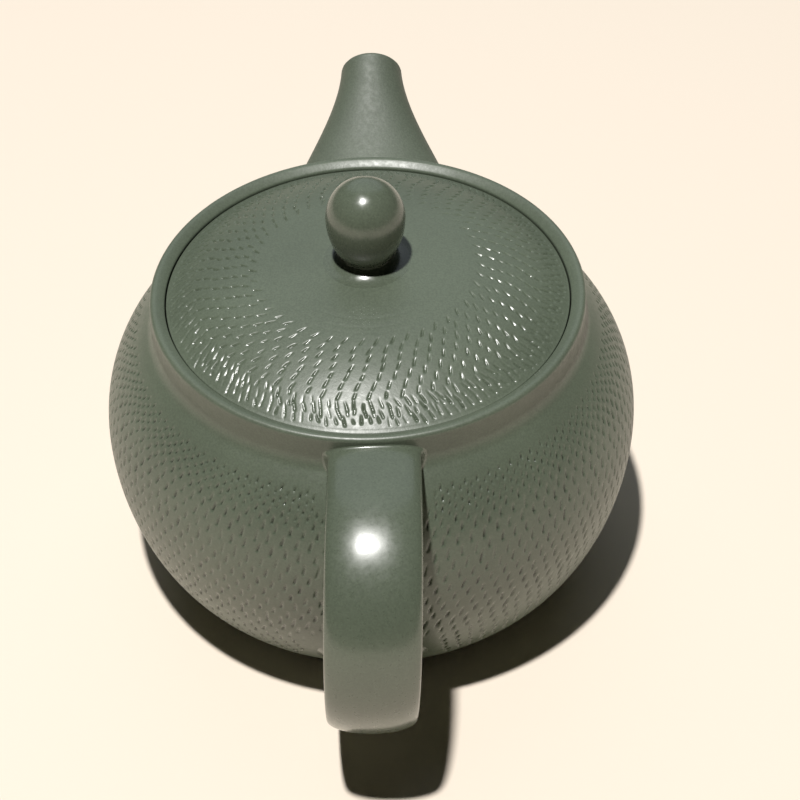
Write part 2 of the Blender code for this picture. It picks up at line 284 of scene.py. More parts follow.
def resample(points, end, count):
    """Evenly spaced points of a polyline, from its start up to the length end."""
    along = lengths(points)
    at = np.linspace(0.0, end, count)
    return np.stack([np.interp(at, along, points[:, k]) for k in range(points.shape[1])], axis=1)


def even(points, step):
    """The same curve with evenly spaced points, about step apart."""
    length = lengths(points)[-1]
    return resample(points, length, max(2, round(length / step) + 1))


def profile_normals(points):
    """Unit normals on the right-hand side of a profile."""
    d = np.gradient(points, axis=0)
    d /= np.linalg.norm(d, axis=1)[:, None]
    return np.stack([d[:, 1], -d[:, 0]], axis=1)


BELLY = belly_curve(
    (BASE_RADIUS, 0.0), (BELLY_RADIUS, BELLY_HEIGHT), (SHOULDER_RADIUS, SHOULDER_HEIGHT), 240)
INSIDE = belly_curve(
    (BASE_RADIUS - WALL, BASE_THICKNESS), (BELLY_RADIUS - WALL, BELLY_HEIGHT),
    (MOUTH_RADIUS, MOUTH_BOTTOM), 60)
BELLY_ALONG = lengths(BELLY)


def split(points, low, high, axis):
    """The stretches of a profile before, between and after two values of one coordinate."""
    values = points[:, axis]
    order = values if values[-1] > values[0] else -values
    low, high = (low, high) if values[-1] > values[0] else (-high, -low)
    first, last = np.searchsorted(order, [low, high])
    return points[:first + 1], points[first:last + 1], points[last:]


def neck_profile():
    """From the shoulder up the neck and over the outer half of the rim."""
    centre = (
        SHOULDER_RADIUS + NECK_FILLET * math.sin(SHOULDER_SLOPE),
        SHOULDER_HEIGHT + NECK_FILLET * math.cos(SHOULDER_SLOPE))
    crown = (RIM_RADIUS - RIM_OUTER_ROUNDING, RIM_HEIGHT - RIM_OUTER_ROUNDING)
    neck = arc(centre, NECK_FILLET, math.radians(270.0) - SHOULDER_SLOPE, math.pi, 16)
    wall = line(neck[-1], (RIM_RADIUS, crown[1]), 8)
    return np.concatenate([neck[1:], wall[1:], arc(crown, RIM_OUTER_ROUNDING, 0.0, 0.5 * math.pi, 12)])


def collar_profile():
    """From the crown of the rim down its inner slope and the bore onto the ledge and through the mouth."""
    crown = (RIM_RADIUS - RIM_OUTER_ROUNDING, RIM_HEIGHT - RIM_CROWN_ROUNDING)
    turn = 0.5 * math.pi + RIM_SLOPE
    inner = arc(crown, RIM_CROWN_ROUNDING, 0.5 * math.pi, turn, 10)
    centre = inner[-1] - RIM_SLOPE_RADIUS * np.array([math.cos(turn), math.sin(turn)])
    end = math.acos((COLLAR_BORE_RADIUS + COLLAR_EDGE[0][0] - centre[0]) / RIM_SLOPE_RADIUS)
    slope = arc(centre, RIM_SLOPE_RADIUS, turn, end, 8)
    edge = [(COLLAR_BORE_RADIUS + out, slope[-1][1] - down) for out, down in COLLAR_EDGE[1:]]
    corner = (COLLAR_BORE_RADIUS - COLLAR_CORNER, LEDGE_HEIGHT + COLLAR_CORNER)
    ledge = (MOUTH_RADIUS + LEDGE_ROUNDING, LEDGE_HEIGHT - LEDGE_ROUNDING)
    return np.concatenate([
        inner[1:],
        slope[1:],
        edge[:-1],
        line(edge[-1], (COLLAR_BORE_RADIUS, corner[1]), 4),
        arc(corner, COLLAR_CORNER, 0.0, -0.5 * math.pi, 4),
        arc(ledge, LEDGE_ROUNDING, 0.5 * math.pi, math.pi, 5),
        line((MOUTH_RADIUS, MOUTH_TOP), (MOUTH_RADIUS, MOUTH_BOTTOM), 4),
    ])


def lid_top(radius):
    """Height of the lid's dome at a radius."""
    return LID_EDGE_TOP + LID_DOME_RISE * (1.0 - (np.asarray(radius) / LID_RADIUS) ** LID_DOME_POWER)


# ---------------------------------------------------------------- meshes

def build(name, points, faces, material, body, node):
    """Make a piece from points in millimetres and arrays of faces, and say what it rides on and replaces."""
    mesh = bpy.data.meshes.new(name)
    corners = np.concatenate([np.asarray(f, np.int32).reshape(-1) for f in faces])
    sizes = np.concatenate([np.full(len(f), np.asarray(f).shape[1], np.int32) for f in faces])
    mesh.vertices.add(len(points))
    mesh.vertices.foreach_set("co", (np.asarray(points, np.float32) * MM).reshape(-1))
    mesh.loops.add(len(corners))
    mesh.loops.foreach_set("vertex_index", corners)
    mesh.polygons.add(len(sizes))
    mesh.polygons.foreach_set("loop_start", np.concatenate([[0], np.cumsum(sizes)[:-1]]).astype(np.int32))
    mesh.update(calc_edges=True)
    mesh.validate()
    mesh.shade_smooth()
    mesh.set_sharp_from_angle(angle=SHARP_ANGLE)
    mesh.materials.append(material)
    piece = bpy.data.objects.new(name, mesh)
    bpy.context.collection.objects.link(piece)
    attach(piece, body)
    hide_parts(node)
    return piece


def join_rows(rows):
    """Faces between rows of points, each a closed ring; a row of one point is a pole.

    Where one row has a whole number of times as many points as the next, fans join them. The rows run
    so that their right-hand side is the outside and their points run anticlockwise seen from above.
    """
    starts = np.concatenate([[0], np.cumsum([len(row) for row in rows])])
    quads, triangles = [], []
    for a, b, lower, upper in zip(starts, starts[1:], rows, rows[1:]):
        n, m = len(lower), len(upper)
        if n == 1 or m == 1:
            i = np.arange(max(n, m))
            j = (i + 1) % len(i)
            fan = (np.full(len(i), a), b + j, b + i) if n == 1 else (a + i, a + j, np.full(len(i), b))
            triangles.append(np.stack(fan, axis=1))
        elif n == m:
            i = np.arange(n)
            j = (i + 1) % n
            quads.append(np.stack([a + i, a + j, b + j, b + i], axis=1))
        else:
            fine, coarse, ratio = (a, b, n // m) if n > m else (b, a, m // n)
            turn = 1 if n > m else -1
            i = np.arange(max(n, m))
            near = (i // ratio + (i % ratio >= ratio // 2)) % min(n, m)
            fan = np.stack([fine + i, fine + (i + 1) % len(i), coarse + near], axis=1)
            c = np.arange(min(n, m))
            middle = c * ratio + ratio // 2
            wedge = np.stack([coarse + c, fine + middle, coarse + (c + 1) % len(c)], axis=1)
            triangles.append(fan[:, ::turn])
            triangles.append(wedge[:, ::turn])
    return [np.concatenate(f) for f in (quads, triangles) if f]


def ring(radius, height, count):
    """A level ring of points, anticlockwise seen from above."""
    if radius == 0.0:
        return np.array([[0.0, 0.0, height]])
    angle = 2.0 * math.pi * np.arange(count) / count
    return np.stack([radius * np.cos(angle), radius * np.sin(angle), np.full(count, height)], axis=1)


def rings(profile, count):
    """The rings of points that a profile makes when it is turned."""
    return [ring(r, z, count) for r, z in profile]


# A ring of marks: its place along the profile, how many marks it has and where they start, and their form
Chatter = namedtuple("Chatter", "centre count phase length width lean depth loose")


def trough(across, width):
    """Section of a mark: a straight steep wall on one side, a rounder one on the other."""
    steep = np.sqrt(np.clip(1.0 + across / (STEEP_WALL * width), 0.0, 1.0) ** 2 + 0.01) - 0.1
    round_wall = np.cos(0.5 * math.pi * np.clip(across / (ROUND_WALL * width), 0.0, 1.0)) ** 2
    return np.where(across < 0.0, steep, round_wall)


def bowl(v):
    """Depth along a mark, from -1 to 1: it is deepest at CHATTER_DEEPEST and runs out to both ends."""
    rise = np.where(
        v < CHATTER_DEEPEST, (v + 1.0) / (CHATTER_DEEPEST + 1.0), (1.0 - v) / (1.0 - CHATTER_DEEPEST))
    return np.sin(0.5 * math.pi * np.clip(rise, 0.0, 1.0)) ** 0.9


def chatter_field(along, radii, columns, rows, keep):
    """Depth of the marks, in millimetres, on a grid of places along the profile and columns round the axis.

    keep(angle, radius, place) says how much of each mark is left, from 0 to 1. Arrays below have the shape
    (marks, places, columns).
    """
    field = np.zeros((len(along), columns))
    step = 2.0 * math.pi / columns
    for row in rows:
        stray = row.loose * random.normal(0.0, 1.0, (5, row.count))
        angle = 2.0 * math.pi * (np.arange(row.count) + row.phase + STRAY_ROUND * stray[0]) / row.count
        middle = row.centre + STRAY_ALONG * row.length * stray[1]
        deep = row.depth * np.clip(1.0 + STRAY_DEPTH * stray[2], 0.3, 1.6)
        deep *= keep(angle, np.interp(row.centre, along, radii), row.centre)
        half = 0.5 * row.length * np.clip(1.0 + STRAY_LENGTH * stray[3], 0.5, 1.5)
        lean = row.lean + STRAY_LEAN * stray[4]
        near = np.flatnonzero(np.abs(along - row.centre) < 0.8 * row.length)
        spread_round = 0.7 * row.width + abs(row.lean) * row.length
        reach = math.ceil(spread_round / (radii[near].min() * step)) + 2
        column = np.round(angle / step).astype(int)[:, None] + np.arange(-reach, reach + 1)
        v = (along[near][None, :, None] - middle[:, None, None]) / half[:, None, None]
        across = (column * step - angle[:, None])[:, None, :] * radii[near][None, :, None]
        across = across - lean[:, None, None] * v * half[:, None, None]
        mark = deep[:, None, None] * bowl(v) * trough(across, row.width)
        place = np.broadcast_arrays(near[None, :, None], column[:, None, :] % columns)
        np.maximum.at(field, tuple(place), mark)
    return field


def displaced_rings(profile, columns, field):
    """Rings of a turned band, sunk by the field along the profile's normals."""
    normals = profile_normals(profile)
    angle = 2.0 * math.pi * np.arange(columns) / columns
    rows = []
    for (r, z), (nr, nz), sink in zip(profile, normals, field):
        radius = r - nr * sink
        rows.append(np.stack([radius * np.cos(angle), radius * np.sin(angle), z - nz * sink], axis=1))
    return rows


# ---------------------------------------------------------------- body and lid

def smooth_step(value):
    """0 below 0, 1 above 1, and a smooth rise between."""
    value = np.clip(value, 0.0, 1.0)
    return value * value * (3.0 - 2.0 * value)


def patch_reach(x, z, patch):
    """How far a place is to the side of a patch's centre and above it, in shares of the patch's reaches."""
    side, height, rise = patch
    return np.abs(x) / side, (z - height) / rise


def belly_keep(angle, radius, place):
    """0 where the clay was smoothed round the handle and the spout, 1 elsewhere."""
    x, y = radius * np.cos(angle), radius * np.sin(angle)
    z = np.interp(place, BELLY_ALONG, BELLY[:, 1])
    spout = np.hypot(*patch_reach(x, z, SPOUT_PATCH))
    lower_root = np.maximum(*patch_reach(x, z, HANDLE_LOWER_PATCH))
    across, below = patch_reach(x - HANDLE_LEAN, z, HANDLE_UPPER_PATCH)
    upper_root = np.maximum(across, -below)
    by_spout = smooth_step((spout - 1.0) / 0.1)
    by_handle = smooth_step((np.minimum(lower_root, upper_root) - 1.0) / 0.12)
    return np.where(y > 0.0, by_spout, by_handle)


def belly_chatter():
    """Rings of marks down the belly: crowded at the top, wider apart below, a little closer at the end.

    Below the crowded ones every sixth ring has longer marks.
    """
    top, bottom = (np.interp(z, BELLY[:, 1], BELLY_ALONG) for z in reversed(BELLY_CHATTER))
    place, phase, rows = top, 0.0, []
    while place > bottom:
        crowded = smooth_step((place - (top - BELLY_CROWDED_BAND[0])) / BELLY_CROWDED_BAND[1])
        low = smooth_step((bottom + BELLY_LOW_BAND[0] - place) / BELLY_LOW_BAND[1])
        gap = BELLY_GAP - BELLY_CROWDING * crowded - BELLY_LOW_CROWDING * low
        long_row = len(rows) % BELLY_LONG_EVERY == BELLY_LONG_FIRST and crowded < 0.1
        length = gap * (1.25 if long_row else 0.95 + 0.35 * crowded)
        width = BELLY_MARK_WIDTH - 0.4 * crowded
        depth = BELLY_CHATTER_DEPTH * (1.0 + 0.05 * crowded)
        rows.append(Chatter(place, BELLY_MARKS, phase, length, width, BELLY_MARK_LEAN, depth, 1.0))
        phase += random.normal(BELLY_SHIFT, BELLY_SHIFT_STRAY) + BELLY_CROWDED_SHIFT * crowded
        place -= gap
    return rows


def base_profile():
    """The flat turned base from its middle outwards, with fine ripples."""
    radii = np.arange(1.0, BASE_RADIUS - 1.0, 0.5)
    return [(0.0, 0.0)] + [(r, BASE_RIPPLE * (1.0 + math.cos(math.pi * r))) for r in radii]


def make_body(clay):
    """The thrown pot: base, belly with its marks, neck, rim and inside, with the port drilled through."""
    low, high = BELLY_CHATTER[0] - BELLY_MARGINS[0], BELLY_CHATTER[1] + BELLY_MARGINS[1]
    below, band, above = split(BELLY, low, high, 1)
    band = even(band, BELLY_STEP)
    along = np.interp(band[0][1], BELLY[:, 1], BELLY_ALONG) + lengths(band)
    field = chatter_field(along, band[:, 0], BELLY_COLUMNS, belly_chatter(), belly_keep)
    bottom = base_profile() + even(below, 1.0)[:-1].tolist()
    floor = line((BASE_RADIUS - WALL - 2.0, BASE_THICKNESS), (0.0, BASE_THICKNESS), 10)
    rest = np.concatenate([
        even(above, 1.0)[1:], neck_profile(), collar_profile(), even(INSIDE, 1.6)[::-1], floor])
    coarse = BELLY_COLUMNS // COLUMN_RATIO
    rows = rings(bottom, coarse) + displaced_rings(band, BELLY_COLUMNS, field)
    rows += rings(rest, coarse) + [ring(0.0, BASE_THICKNESS, 1)]
    body = build("pot_body", np.concatenate(rows), join_rows(rows), clay, "pot", "body")
    store_marks(body, rows, len(bottom), field / BELLY_CHATTER_DEPTH)
    start, end = (Vector((0, y, PORT_HEIGHT)) for y in PORT_CUT)
    drill(body, [(start, end, PORT_RADIUS)], 48)


def store_marks(piece, rows, first, field):
    """Keep each point's share of a mark's depth on the mesh, for the material, which paints shade into the
    marks and smooths them with it.
    """
    values = [np.zeros(len(row)) for row in rows]
    for k, row in enumerate(field):
        values[first + k] = row
    attribute = piece.data.attributes.new("mark", 'FLOAT', 'POINT')
    attribute.data.foreach_set("value", np.concatenate(values).astype(np.float32))


def capped(rows):
    """Rows of a tube with a pole at the middle of each end."""
    return [rows[0].mean(axis=0)[None]] + rows + [rows[-1].mean(axis=0)[None]]


def make_drill(start, end, radius, segments):
    """A round cutter from start to end."""
    axis = end - start
    turn = axis.to_track_quat('Z', 'Y').to_matrix()
    circle = [turn @ Vector(point) for point in ring(radius, 0.0, segments)]
    rows = capped([np.array([tuple(centre + point) for point in circle]) for centre in (start, end)])
    mesh = bpy.data.meshes.new("drill")
    faces = [face.tolist() for group in join_rows(rows) for face in group]
    mesh.from_pydata((np.concatenate(rows) * MM).tolist(), [], faces)
    mesh.update()
    cutter = bpy.data.objects.new("drill", mesh)
    bpy.context.collection.objects.link(cutter)
    return cutter


def drill(piece, holes, segments):
    """Cut round holes, given as start, end and radius, and apply the cut."""
    cutters = [make_drill(*hole, segments) for hole in holes]
    for cutter in cutters:
        modifier = piece.modifiers.new("drill", 'BOOLEAN')
        modifier.operation = 'DIFFERENCE'
        modifier.solver = 'MANIFOLD'
        modifier.object = cutter
    depsgraph = bpy.context.evaluated_depsgraph_get()
    result = bpy.data.meshes.new_from_object(piece.evaluated_get(depsgraph), depsgraph=depsgraph)
    piece.modifiers.clear()
    piece.data = result
    result.set_sharp_from_angle(angle=SHARP_ANGLE)
    for cutter in cutters:
        bpy.data.objects.remove(cutter, do_unlink=True)


def lid_chatter(along, radii):
    """Rings of marks on the lid, from the edge inwards; by the edge they lean the other way, in streaks.

    The shift between rings is counted in parts of a turn, because the number of marks varies.
    """
    rows, phase = [], 0.0
    for radius in LID_ROWS:
        inward = (LID_ROWS[0] - radius) / (LID_ROWS[0] - LID_ROWS[-1])
        edge = radius > LID_EDGE_BAND
        stroke = LID_EDGE_STROKE if edge else LID_STROKE
        lean = LID_EDGE_LEAN if edge else LID_LEAN + LID_LEAN_GROWTH * inward
        count = round(2.0 * math.pi * radius / stroke.gap)
        rows.append(Chatter(
            np.interp(-radius, -radii, along), count, phase * count / LID_SHIFT_PARTS,
            stroke.length, stroke.width, lean, stroke.depth, stroke.loose))
        phase += LID_SHIFT + random.normal(0.0, LID_SHIFT_STRAY)
    return rows


def lid_lower_profile():
    """From the middle of the lid's underside, round the flange and the seat, over the lid's edge."""
    radius = np.linspace(0.0, FLANGE_INNER_RADIUS - 1.0, 20)
    under = np.stack([radius, lid_top(radius) - LID_THICKNESS], axis=1)
    root = lid_top(FLANGE_INNER_RADIUS) - LID_THICKNESS - FLANGE_HOLLOW_CORNER
    foot = FLANGE_BOTTOM + FLANGE_ROUNDING
    seat = LEDGE_HEIGHT + SEAT_GAP
    edge = (LID_RADIUS - LID_EDGE_ROUNDING, LID_EDGE_TOP - LID_EDGE_ROUNDING + 0.1)
    return np.concatenate([
        under,
        line((FLANGE_INNER_RADIUS, root), (FLANGE_INNER_RADIUS, foot + 0.2), 5),
        arc((FLANGE_INNER_RADIUS + FLANGE_ROUNDING, foot), FLANGE_ROUNDING, math.pi, 1.5 * math.pi, 5),
        arc((FLANGE_OUTER_RADIUS - FLANGE_ROUNDING, foot), FLANGE_ROUNDING, -0.5 * math.pi, 0.0, 5),
        line((FLANGE_OUTER_RADIUS, foot + 0.4), (FLANGE_OUTER_RADIUS, seat - 0.2), 4),
        line((FLANGE_OUTER_RADIUS + 0.2, seat), (LID_RADIUS - SEAT_CHAMFER, seat), 3),
        [(LID_RADIUS - SEAT_CHAMFER, seat), (LID_RADIUS, seat + SEAT_CHAMFER)],
        arc(edge, LID_EDGE_ROUNDING, 0.0, math.radians(80.0), 8)])


def lid_centre_profile(inner):
    """The smooth middle of the lid, with the faint rings that the turning tool left."""
    profile = even(inner, 0.25)[1:-1]
    for radius in TURNING_RINGS:
        profile[:, 1] -= TURNING_DEPTH * np.exp(-((profile[:, 0] - radius) / TURNING_WIDTH) ** 2)
    return profile


def make_lid(clay):
    """The turned lid: flange, seat, low dome with its marks, and the steam hole."""
    radii = np.linspace(LID_RADIUS - LID_EDGE_ROUNDING, 0.0, 400)
    top = np.stack([radii, lid_top(radii)], axis=1)
    outer, band, inner = split(top, *LID_CHATTER, 0)
    band = even(band, LID_STEP)
    along = lengths(band)
    field = chatter_field(
        along, band[:, 0], LID_COLUMNS, lid_chatter(along, band[:, 0]),
        lambda angle, radius, place: np.ones_like(angle))
    lower = np.concatenate([lid_lower_profile(), even(outer, 0.5)[1:-1]])
    coarse = LID_COLUMNS // COLUMN_RATIO
    rows = rings(lower, coarse) + displaced_rings(band, LID_COLUMNS, field)
    rows += rings(lid_centre_profile(inner), coarse) + [ring(0.0, float(lid_top(0.0)), 1)]
    lid = build("pot_lid", np.concatenate(rows), join_rows(rows), clay, "lid_unit", "lid")
    store_marks(lid, rows, len(lower), LID_MARK_SHADE * field / LID_CHATTER_DEPTH)
    start, end = (Vector((0, VENT_Y, z)) for z in VENT_CUT)
    drill(lid, [(start, end, VENT_RADIUS)], 32)


# ---------------------------------------------------------------- knob and strainer

def egg_radius(height):
    """Radius of the knob's lower half at a height, or 0 below it."""
    return KNOB_RADIUS * np.sqrt(np.maximum(0.0, 1.0 - ((KNOB_EQUATOR - height) / KNOB_LOWER) ** 2))


def make_knob(burnished):
    """The egg on its flare; the flare stops where the egg comes out of it."""
    foot = float(lid_top(KNOB_FLARE_RADIUS)) - KNOB_SUNK
    flare_centre = (KNOB_FLARE_RADIUS, foot + KNOB_FEATHER_LIFT + KNOB_FLARE_FILLET)
    flare = arc(flare_centre, KNOB_FLARE_FILLET, 1.5 * math.pi, math.pi, 40)
    flare = flare[flare[:, 0] > egg_radius(flare[:, 1]) + KNOB_NECK_CLEARANCE]
    heights = np.linspace(flare[-1][1] + KNOB_NECK_STEP, KNOB_EQUATOR, 28)[:-1]
    lower = np.stack([egg_radius(heights), heights], axis=1)
    angle = np.linspace(0.0, 0.5 * math.pi, 30)[:-1]
    rise = KNOB_TOP - KNOB_EQUATOR
    upper = np.stack([KNOB_RADIUS * np.cos(angle), KNOB_EQUATOR + rise * np.sin(angle)], axis=1)
    profile = np.concatenate([[(0.0, foot), (KNOB_FLARE_RADIUS + KNOB_FEATHER, foot)], flare, lower, upper])
    rows = rings(profile, KNOB_SEGMENTS) + [ring(0.0, KNOB_TOP, 1)]
    points = np.concatenate(rows)
    build("pot_knob", points, join_rows(rows), burnished, "lid_unit", "knob")


def dome_profile(radius, depth):
    """A dome's outline from its foot, depth below its centre, to just before its top."""
    side = line((radius, -depth), (radius, 0.0), 3)
    return np.concatenate([side, arc((0.0, 0.0), radius, 0.0, 0.5 * math.pi, 24)[:-1]])


def strainer_holes(inner):
    """The strainer's round holes, each with its start, end and radius."""
    centre = Vector((0, STRAINER_CENTRE_Y, PORT_HEIGHT))
    start, end = inner - STRAINER_DRILL_REACH, STRAINER_RADIUS + STRAINER_DRILL_REACH
    holes = []
    for count, tilt in STRAINER_HOLE_RINGS:
        away = math.radians(tilt)
        for turn in 2.0 * math.pi * np.arange(count) / count:
            direction = Vector((
                math.sin(away) * math.cos(turn), -math.cos(away), math.sin(away) * math.sin(turn)))
            holes.append((centre + direction * start, centre + direction * end, STRAINER_HOLE_RADIUS))
    return holes


def make_strainer(clay):
    """A dome that opens towards +Y, with its foot inside the wall, and rings of round holes."""
    inner = STRAINER_RADIUS - STRAINER_WALL
    depth = STRAINER_FOOT_Y - STRAINER_CENTRE_Y
    profile = np.concatenate([dome_profile(inner, depth)[::-1], dome_profile(STRAINER_RADIUS, depth)])
    rows = [ring(0.0, inner, 1)] + rings(profile, STRAINER_SEGMENTS) + [ring(0.0, STRAINER_RADIUS, 1)]
    x, y, z = np.concatenate(rows).T
    points = np.stack([x, STRAINER_CENTRE_Y - z, PORT_HEIGHT + y], axis=1)
    strainer = build("pot_strainer", points, join_rows(rows), clay, "pot", "strainer")
    drill(strainer, strainer_holes(inner), 20)


# ---------------------------------------------------------------- luted pieces

def skin_distance(points):
    """Distance of points outside the pot's skin (negative inside), and the skin's normal there."""
    skin = np.concatenate([BELLY, neck_profile()])
    normals = profile_normals(skin)
    r = np.hypot(points[..., 0], points[..., 1])
    flat = np.stack([r, points[..., 2]], axis=-1)
    gap = flat[..., None, :] - skin
    nearest = np.argmin((gap ** 2).sum(axis=-1), axis=-1)
    normal = normals[nearest]
    distance = ((flat - skin[nearest]) * normal).sum(axis=-1)
    outward = np.stack([
        normal[..., 0] * points[..., 0] / r, normal[..., 0] * points[..., 1] / r, normal[..., 1]], axis=-1)
    return distance, outward


def root_on_pot(columns, normals, radii, steps=9):
    """End each column of a tube on the pot's skin with a fillet, whose radius is given for each column.

    columns has shape (rows, around, 3) and runs from the tube towards the pot. It meets the skin after its
    first quarter. Returns the rows up to where the fillet starts and the fillet's own rows.
    """
    distance, _ = skin_distance(columns)
    kept, fillet = [], []
    for i, radius in enumerate(radii):
        d = distance[:, i]
        inside = np.flatnonzero(d < 0.0)
        k = inside[inside > len(d) // 4][0]
        mix = d[k - 1] / (d[k - 1] - d[k])
        hit = columns[k - 1, i] * (1 - mix) + columns[k, i] * mix
        path = np.concatenate([columns[:k, i], hit[None]])
        lead = resample(path, lengths(path)[-1] - radius, len(columns))
        _, out = skin_distance(hit[None])
        side = normals[k, i] - out[0] * np.dot(normals[k, i], out[0])
        foot = hit + side / np.linalg.norm(side) * radius
        gap, out = skin_distance(foot[None])
        foot = foot - out[0] * (gap[0] + FILLET_SUNK)
        t = np.linspace(0.0, 1.0, steps)[1:, None]
        kept.append(lead)
        fillet.append((1 - t) ** 2 * lead[-1] + 2 * t * (1 - t) * hit + t * t * foot)
    return np.stack(kept, axis=1), np.stack(fillet, axis=1)


def grid_normals(grid):
    """Outward unit normals of a grid of closed rings."""
    d_row = np.gradient(grid, axis=0)
    d_around = np.roll(grid, -1, axis=1) - np.roll(grid, 1, axis=1)
    normal = np.cross(d_around, d_row)
    normal /= np.linalg.norm(normal, axis=2)[..., None]
    outward = grid - grid.mean(axis=1, keepdims=True)
    return normal if (normal * outward).sum() > 0.0 else -normal


def spout_grid(wall, t, around):
    """Elliptical sections of the spout at the places t, wall millimetres inside the outer skin."""
    ridge, keel = bezier(SPOUT_RIDGE, t), bezier(SPOUT_KEEL, t)
    centre, upward = (ridge + keel) / 2, (ridge - keel) / 2
    length = np.linalg.norm(upward, axis=1)
    upward *= ((length - wall) / length)[:, None]
    half = bezier([(w,) for w in SPOUT_HALF_WIDTH], t)[:, 0] - wall
    angle = 2.0 * math.pi * np.arange(around) / around
    x = half[:, None] * np.sin(angle)
    y = centre[:, :1] + upward[:, :1] * np.cos(angle)
    z = centre[:, 1:] + upward[:, 1:] * np.cos(angle)
    return np.stack([x, y, z], axis=2)


def make_spout(clay):
    """The hollow spout: skin and bore end on the pot, and a rounded lip joins them at the mouth."""
    t = np.linspace(1.0, 0.0, SPOUT_SECTIONS)
    outer = spout_grid(0.0, t, SPOUT_SEGMENTS)
    normals = grid_normals(outer)
    skin, fillet = root_on_pot(outer, normals, np.full(SPOUT_SEGMENTS, SPOUT_FILLET))
    bore = spout_grid(SPOUT_WALL, t, SPOUT_SEGMENTS)
    bore_skin, bore_end = root_on_pot(bore, -normals, np.full(SPOUT_SEGMENTS, SPOUT_BORE_FILLET))
    middle = 0.5 * (skin[0] + bore_skin[0])
    half = 0.5 * (skin[0] - bore_skin[0])
    forward = skin[0] - skin[1]
    forward *= 0.5 * SPOUT_WALL * SPOUT_LIP_FULLNESS / np.linalg.norm(forward, axis=1)[:, None]
    lip = [
        middle + half * math.cos(angle) + forward * math.sin(angle)
        for angle in np.linspace(0.0, math.pi, 9)[1:-1]]
    rows = list(fillet[::-1]) + list(skin[::-1]) + lip + list(bore_skin) + [bore_end[-1]]
    faces = join_loop(len(rows), SPOUT_SEGMENTS)
    build("pot_spout", np.concatenate(rows), faces, clay, "pot", "spout")


def join_loop(count, around):
    """Faces of a tube of count rings that closes on itself."""
    k = np.arange(count)[:, None]
    i = np.arange(around)[None, :]
    n, j = (k + 1) % count, (i + 1) % around
    corners = [k * around + i, n * around + i, n * around + j, k * around + j]
    return [np.stack(corners, axis=2).reshape(-1, 4)]


def handle_width(turn):
    """Strap width at turn, 0 at the upper root and 1 at the lower root."""
    rise = np.sin(0.5 * math.pi * np.minimum(turn / HANDLE_WIDEST, 1.0))
    progress = np.clip((turn - HANDLE_WIDEST) / (HANDLE_NARROWEST - HANDLE_WIDEST), 0.0, 1.0)
    fall = 0.5 - 0.5 * np.cos(math.pi * progress)
    width = HANDLE_TOP_WIDTH + (HANDLE_MIDDLE_WIDTH - HANDLE_TOP_WIDTH) * rise
    width += (HANDLE_BOTTOM_WIDTH - HANDLE_MIDDLE_WIDTH) * fall
    flare = np.maximum(0.0, (turn - HANDLE_FLARE_START) / (1.0 - HANDLE_FLARE_START))
    return width + (HANDLE_ROOT_WIDTH - HANDLE_BOTTOM_WIDTH) * flare ** 2


def handle_section():
    """The strap's section with rounded corners: places across it and outwards from its middle, -1 to 1."""
    angle = 2.0 * math.pi * np.arange(HANDLE_SEGMENTS) / HANDLE_SEGMENTS
    power = 2.0 / HANDLE_CORNER_POWER
    across = np.sign(np.cos(angle)) * np.abs(np.cos(angle)) ** power
    outward = np.sign(np.sin(angle)) * np.abs(np.sin(angle)) ** power
    return across, outward


def handle_grid(across, outward):
    """The strap's sections along its bend, crowned on the outer face."""
    turn = np.linspace(0.0, 1.0, HANDLE_SECTIONS)
    angle = (HANDLE_START + (HANDLE_END - HANDLE_START) * turn)[:, None]
    middle = HANDLE_OUTER_RADIUS - 0.5 * HANDLE_THICKNESS
    crown = HANDLE_CROWN * np.maximum(outward, 0.0) * across ** 2
    radius = middle + outward * 0.5 * HANDLE_THICKNESS - crown
    level = middle * np.maximum(0.0, 0.5 * math.pi - angle)
    angle = np.maximum(angle, 0.5 * math.pi)
    x = 0.5 * handle_width(turn)[:, None] * across + HANDLE_LEAN * (0.5 + 0.5 * np.sin(angle))
    y = HANDLE_CENTRE[0] + radius * np.cos(angle) + level
    z = HANDLE_CENTRE[1] + radius * np.sin(angle)
    return np.stack([x, y, z], axis=2)


def make_handle(clay):
    """The strap, luted on the neck with a fillet that is tighter outside and on the belly with a wide one.

    The bend is split at its middle, and each half runs from there to its root.
    """
    across, outward = handle_section()
    grid = handle_grid(across, outward)
    normals = grid_normals(grid)
    half = HANDLE_SECTIONS // 2
    inner_fillet, outer_fillet = HANDLE_UPPER_FILLETS
    radii = inner_fillet + (outer_fillet - inner_fillet) * smooth_step((outward - 0.2) / 0.6)
    top, top_fillet = root_on_pot(grid[half::-1], normals[half::-1], radii)
    low, low_fillet = root_on_pot(
        grid[half:], normals[half:], np.full(HANDLE_SEGMENTS, HANDLE_LOWER_FILLET))
    rows = capped(list(top_fillet[::-1]) + list(top[::-1]) + list(low[1:]) + list(low_fillet))
    build("pot_handle", np.concatenate(rows), join_rows(rows), clay, "pot", "handle")


# ---------------------------------------------------------------- materials

# Noise scales, per metre
CLOUD_SCALE = 38.0
WAVE_SCALE = 160.0
SHEEN_SCALE = 900.0
GRAIN_SCALE = 1500.0
GRIT_SCALE = 2600.0

# Clay inside a mark: its share of the colour, which is partly the rougher clay's own tone and partly painted
# shade in the groove, and what is added to its roughness
MARK_SHADE_AND_TONE = 0.38
MARK_POLISH = -0.14

SPECULAR = 0.72
COAT_ROUGHNESS = 0.13
BUMP_HEIGHT = 0.00012


def add_node(tree, kind, **values):
    """Add a node and set its properties."""
    node = tree.nodes.new(kind)
    for key, value in values.items():
        setattr(node, key, value)
    return node


def noise(tree, coordinates, scale, detail, roughness=0.5):
    """A noise texture's value."""
    node = add_node(tree, "ShaderNodeTexNoise")
    node.inputs["Scale"].default_value = scale
    node.inputs["Detail"].default_value = detail
    node.inputs["Roughness"].default_value = roughness
    tree.links.new(coordinates, node.inputs["Vector"])
    return node.outputs["Fac"]


